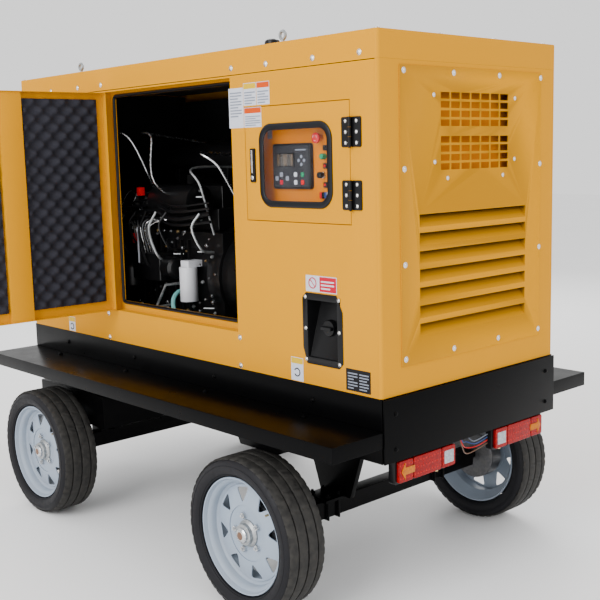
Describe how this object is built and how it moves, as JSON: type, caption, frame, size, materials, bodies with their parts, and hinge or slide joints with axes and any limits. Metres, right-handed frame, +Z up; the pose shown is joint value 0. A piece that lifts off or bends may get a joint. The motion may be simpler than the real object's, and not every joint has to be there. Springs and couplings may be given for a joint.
{
  "type": "towable diesel generator",
  "caption": "Sound-proofed diesel generator in a boxy canopy on a flat-deck turntable trailer, with hinged engine and control doors, louvred end, tail lamps and drawbar.",
  "frame": {"origin": "middle of the model's box on the ground, with the near engine door open; the trailer's own centre plane is 325 mm towards +Y and the canopy's middle 510 mm towards +X", "axes": "+X towards the louvred rear end, away from the drawbar; -Y towards the service side with the control door; +Z up"},
  "size_m": [3.5332, 2.2519, 2.17],
  "materials": {
    "canopy_yellow": "gloss powder coat",
    "chassis_black": "gloss black paint",
    "engine_black": "semi-gloss engine enamel",
    "black_plastic": "moulded, satin",
    "foam": "open-cell acoustic foam",
    "seal_rubber": "extruded, matt",
    "tyre": "ribbed trailer tread",
    "rim_white": "gloss white",
    "zinc": "bright zinc plate",
    "lamp_red": "clear red lens",
    "window": "clear pane in a black rubber band",
    "button_red": "gloss",
    "button_green": "gloss",
    "filter_white": "gloss white",
    "hose_teal": "smooth silicone"
  },
  "bodies": {
    "trailer": {"deck": "chassis_black", "chassis_frame": "chassis_black", "tail_board": "chassis_black", "base_frame": "chassis_black", "fuel_tank": "chassis_black", "rear_axle": "chassis_black", "turntable_upper_ring": "chassis_black", "filler_recess": "chassis_black", "near_side_panel": "canopy_yellow", "far_side_panel": "canopy_yellow", "rear_end_shell": "canopy_yellow", "rear_vent_panel": "canopy_yellow", "front_end_shell": "canopy_yellow", "roof": "canopy_yellow", "control_box": "canopy_yellow", "engine_block": "engine_black", "cylinder_head": "engine_black", "alternator": "engine_black", "radiator": "engine_black", "lower_control_hinge": "black_plastic", "upper_control_hinge": "black_plastic", "controller": "black_plastic", "air_filter": "black_plastic", "battery": "black_plastic", "near_door_seal": "seal_rubber", "near_lifting_bar": "zinc", "far_lifting_bar": "zinc", "muffler": "zinc", "near_tail_lamp": "lamp_red", "far_tail_lamp": "lamp_red", "fuel_filter": "filter_white", "coolant_hose": "hose_teal"},
    "near_engine_door": {"near_door": "canopy_yellow", "near_door_foam_front": "foam", "near_door_foam_rear": "foam"},
    "near_latch": {"near_door_latch": "black_plastic"},
    "far_engine_door": {"far_door": "canopy_yellow", "far_door_foam": "foam"},
    "far_latch": {"far_door_latch": "black_plastic"},
    "control_panel_door": {"control_door": "canopy_yellow", "control_window": "window"},
    "control_panel_latch": {"control_latch": "black_plastic"},
    "stop_button": {"emergency_stop": "button_red"},
    "run_button": {"start_button": "button_green"},
    "key": {"key_switch": "zinc"},
    "filler_cap": {"fuel_cap": "black_plastic"},
    "fan": {"cooling_fan": "black_plastic"},
    "steering_bolster": {"front_bolster": "chassis_black", "front_axle": "chassis_black", "drawbar_pin": "zinc"},
    "towbar": {"drawbar": "chassis_black", "tow_eye": "zinc"},
    "near_rear_wheel": {"near_rear_tyre": "tyre", "near_rear_rim": "rim_white"},
    "far_rear_wheel": {"far_rear_tyre": "tyre", "far_rear_rim": "rim_white"},
    "near_front_wheel": {"near_front_tyre": "tyre", "near_front_rim": "rim_white"},
    "far_front_wheel": {"far_front_tyre": "tyre", "far_front_rim": "rim_white"}
  },
  "joints": [
    {"name": "near_door_swing", "type": "hinge", "parent": "trailer", "child": "near_engine_door", "pos_m": [0.04935, -0.20378, 1.512], "axis": [0, 0, 1], "range_deg": [-25, 92]},
    {"name": "near_latch_pull", "type": "hinge", "parent": "near_engine_door", "child": "near_latch", "pos_m": [0.02493, -1.06645, 1.512], "axis": [0, 0, 1], "range_deg": [-45, 0]},
    {"name": "far_door_swing", "type": "hinge", "parent": "trailer", "child": "far_engine_door", "pos_m": [0.04935, 0.85422, 1.512], "axis": [0, 0, 1], "range_deg": [0, 115]},
    {"name": "far_latch_pull", "type": "hinge", "parent": "far_engine_door", "child": "far_latch", "pos_m": [0.91235, 0.84852, 1.512], "axis": [0, 0, 1], "range_deg": [0, 45]},
    {"name": "control_door_swing", "type": "hinge", "parent": "trailer", "child": "control_panel_door", "pos_m": [1.63135, -0.20978, 1.68], "axis": [0, 0, 1], "range_deg": [0, 120]},
    {"name": "control_latch_pull", "type": "hinge", "parent": "control_panel_door", "child": "control_panel_latch", "pos_m": [1.11735, -0.19808, 1.675], "axis": [0, 0, 1], "range_deg": [0, 45]},
    {"name": "stop_press", "type": "slide", "parent": "trailer", "child": "stop_button", "axis": [0, 1, 0], "range_m": [0, 0.005], "stiffness_N_per_m": 900},
    {"name": "run_press", "type": "slide", "parent": "trailer", "child": "run_button", "axis": [0, 1, 0], "range_m": [0, 0.004], "stiffness_N_per_m": 600},
    {"name": "key_turn", "type": "hinge", "parent": "trailer", "child": "key", "pos_m": [1.42535, -0.14478, 1.636], "axis": [0, 1, 0], "range_deg": [0, 90]},
    {"name": "cap_turn", "type": "hinge", "parent": "trailer", "child": "filler_cap", "pos_m": [1.46735, -0.15578, 1.0745], "axis": [0, -0.9584, 0.2853], "range_deg": [0, 90]},
    {"name": "fan_spin", "type": "hinge", "parent": "trailer", "child": "fan", "pos_m": [-0.48965, 0.32522, 1.301], "axis": [1, 0, 0], "continuous": true},
    {"name": "steer", "type": "hinge", "parent": "trailer", "child": "steering_bolster", "pos_m": [-0.30865, 0.32522, 0.6], "axis": [0, 0, 1], "range_deg": [-45, 45]},
    {"name": "drawbar_pitch", "type": "hinge", "parent": "steering_bolster", "child": "towbar", "pos_m": [-0.65465, 0.32522, 0.441], "axis": [0, 1, 0], "range_deg": [-20, 14]},
    {"name": "near_rear_roll", "type": "hinge", "parent": "trailer", "child": "near_rear_wheel", "pos_m": [1.26035, -0.37978, 0.302], "axis": [0, 1, 0], "continuous": true},
    {"name": "far_rear_roll", "type": "hinge", "parent": "trailer", "child": "far_rear_wheel", "pos_m": [1.26035, 1.03022, 0.302], "axis": [0, 1, 0], "continuous": true},
    {"name": "near_front_roll", "type": "hinge", "parent": "steering_bolster", "child": "near_front_wheel", "pos_m": [-0.30865, -0.37978, 0.302], "axis": [0, 1, 0], "continuous": true},
    {"name": "far_front_roll", "type": "hinge", "parent": "steering_bolster", "child": "far_front_wheel", "pos_m": [-0.30865, 1.03022, 0.302], "axis": [0, 1, 0], "continuous": true}
  ]
}
